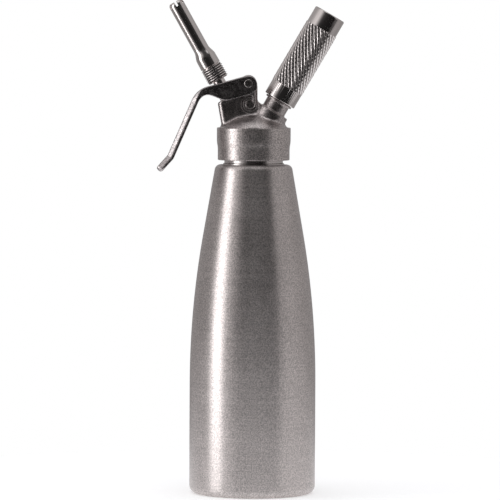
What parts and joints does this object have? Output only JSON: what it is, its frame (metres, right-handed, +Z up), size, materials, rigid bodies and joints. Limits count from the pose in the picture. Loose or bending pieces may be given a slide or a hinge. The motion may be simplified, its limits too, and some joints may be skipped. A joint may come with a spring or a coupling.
{
  "type": "whipped cream dispenser",
  "caption": "Tall steel pressure bottle with a screwed head, a squeeze lever that opens a slanted dispensing nozzle, and a knurled gas charger holder on the other side.",
  "frame": {"origin": "middle of the bottle's base, on the table", "axes": "+Z up along the bottle's axis; -X towards the lever and the nozzle; +X towards the charger holder; the head is symmetric about the plane Y = 0"},
  "size_m": [0.1423, 0.0964, 0.378],
  "materials": {
    "satin_steel": "fine brushed, lines round the bottle",
    "cast_steel": "fine bead-blasted satin",
    "polished_steel": "turned and polished",
    "machined_steel": "turned",
    "lever_steel": "tumbled satin sheet",
    "spring_steel": "drawn wire",
    "charger_steel": "plated",
    "black_rubber": "moulded",
    "red_silicone": "moulded silicone",
    "white_plastic": "moulded",
    "black_plastic": "moulded"
  },
  "bodies": {
    "bottle": {"bottle_shell": "satin_steel", "bottle_base": "satin_steel", "neck_ring": "machined_steel"},
    "gasket": {"head_gasket": "red_silicone"},
    "head": {"head_body": "cast_steel", "lever_pin": "machined_steel", "pin_clip": "spring_steel", "guide_bush": "white_plastic", "valve_spring": "spring_steel", "inlet_valve": "machined_steel", "inlet_seal": "black_rubber", "check_spring": "spring_steel", "ball_seat": "white_plastic", "piercing_pin": "machined_steel", "charger_seal": "black_rubber"},
    "lever": {"lever": "lever_steel"},
    "valve": {"valve_spindle": "machined_steel", "spindle_seal": "black_rubber", "spindle_ring": "black_rubber", "spring_cup": "machined_steel", "nozzle_adapter": "machined_steel"},
    "tip_gasket": {"tip_seal": "white_plastic"},
    "tip": {"decorator_tip": "polished_steel"},
    "check_valve": {"check_ball": "machined_steel"},
    "gas_charger": {"charger": "charger_steel"},
    "holder": {"charger_holder": "polished_steel", "holder_sleeve": "black_plastic"}
  },
  "joints": [
    {"name": "head_lift", "type": "slide", "parent": "bottle", "child": "gasket", "axis": [0, 0, 1], "range_m": [0, 0.00901]},
    {"name": "head_unscrew", "type": "hinge", "parent": "gasket", "child": "head", "pos_m": [0, 0, 0.256], "axis": [0, 0, 1], "range_deg": [0, 1080]},
    {"name": "lever_squeeze", "type": "hinge", "parent": "head", "child": "lever", "pos_m": [-0.00428, 0, 0.31402], "axis": [0, -1, 0], "range_deg": [0, 13.5], "stiffness_Nm_per_rad": 3, "springref_deg": -6.88},
    {"name": "valve_open", "type": "slide", "parent": "head", "child": "valve", "axis": [0.4886, 0, -0.8725], "range_m": [0, 0.0033], "deforming": ["valve_spring"]},
    {"name": "tip_lift", "type": "slide", "parent": "valve", "child": "tip_gasket", "axis": [-0.4886, 0, 0.8725], "range_m": [0, 0.00451]},
    {"name": "tip_unscrew", "type": "hinge", "parent": "tip_gasket", "child": "tip", "pos_m": [0, 0, 0.2677], "axis": [-0.4886, 0, 0.8725], "range_deg": [0, 1080]},
    {"name": "charger_lift", "type": "slide", "parent": "head", "child": "gas_charger", "axis": [0.503, 0, 0.8643], "range_m": [0, 0.0076]},
    {"name": "holder_unscrew", "type": "hinge", "parent": "gas_charger", "child": "holder", "pos_m": [0, 0, 0.2677], "axis": [0.503, 0, 0.8643], "range_deg": [0, 1800]},
    {"name": "check_valve_open", "type": "slide", "parent": "head", "child": "check_valve", "axis": [-0.503, 0, -0.8643], "range_m": [0, 0.0012], "stiffness_N_per_m": 20, "springref_m": -0.001, "deforming": ["check_spring"]}
  ],
  "couplings": [
    {"joint": "head_lift", "follows": "head_unscrew", "m_per_rad": 0.00047746},
    {"joint": "valve_open", "follows": "lever_squeeze", "m_per_rad": 0.01347},
    {"joint": "tip_lift", "follows": "tip_unscrew", "m_per_rad": 0.00023873},
    {"joint": "charger_lift", "follows": "holder_unscrew", "m_per_rad": 0.00023873}
  ]
}
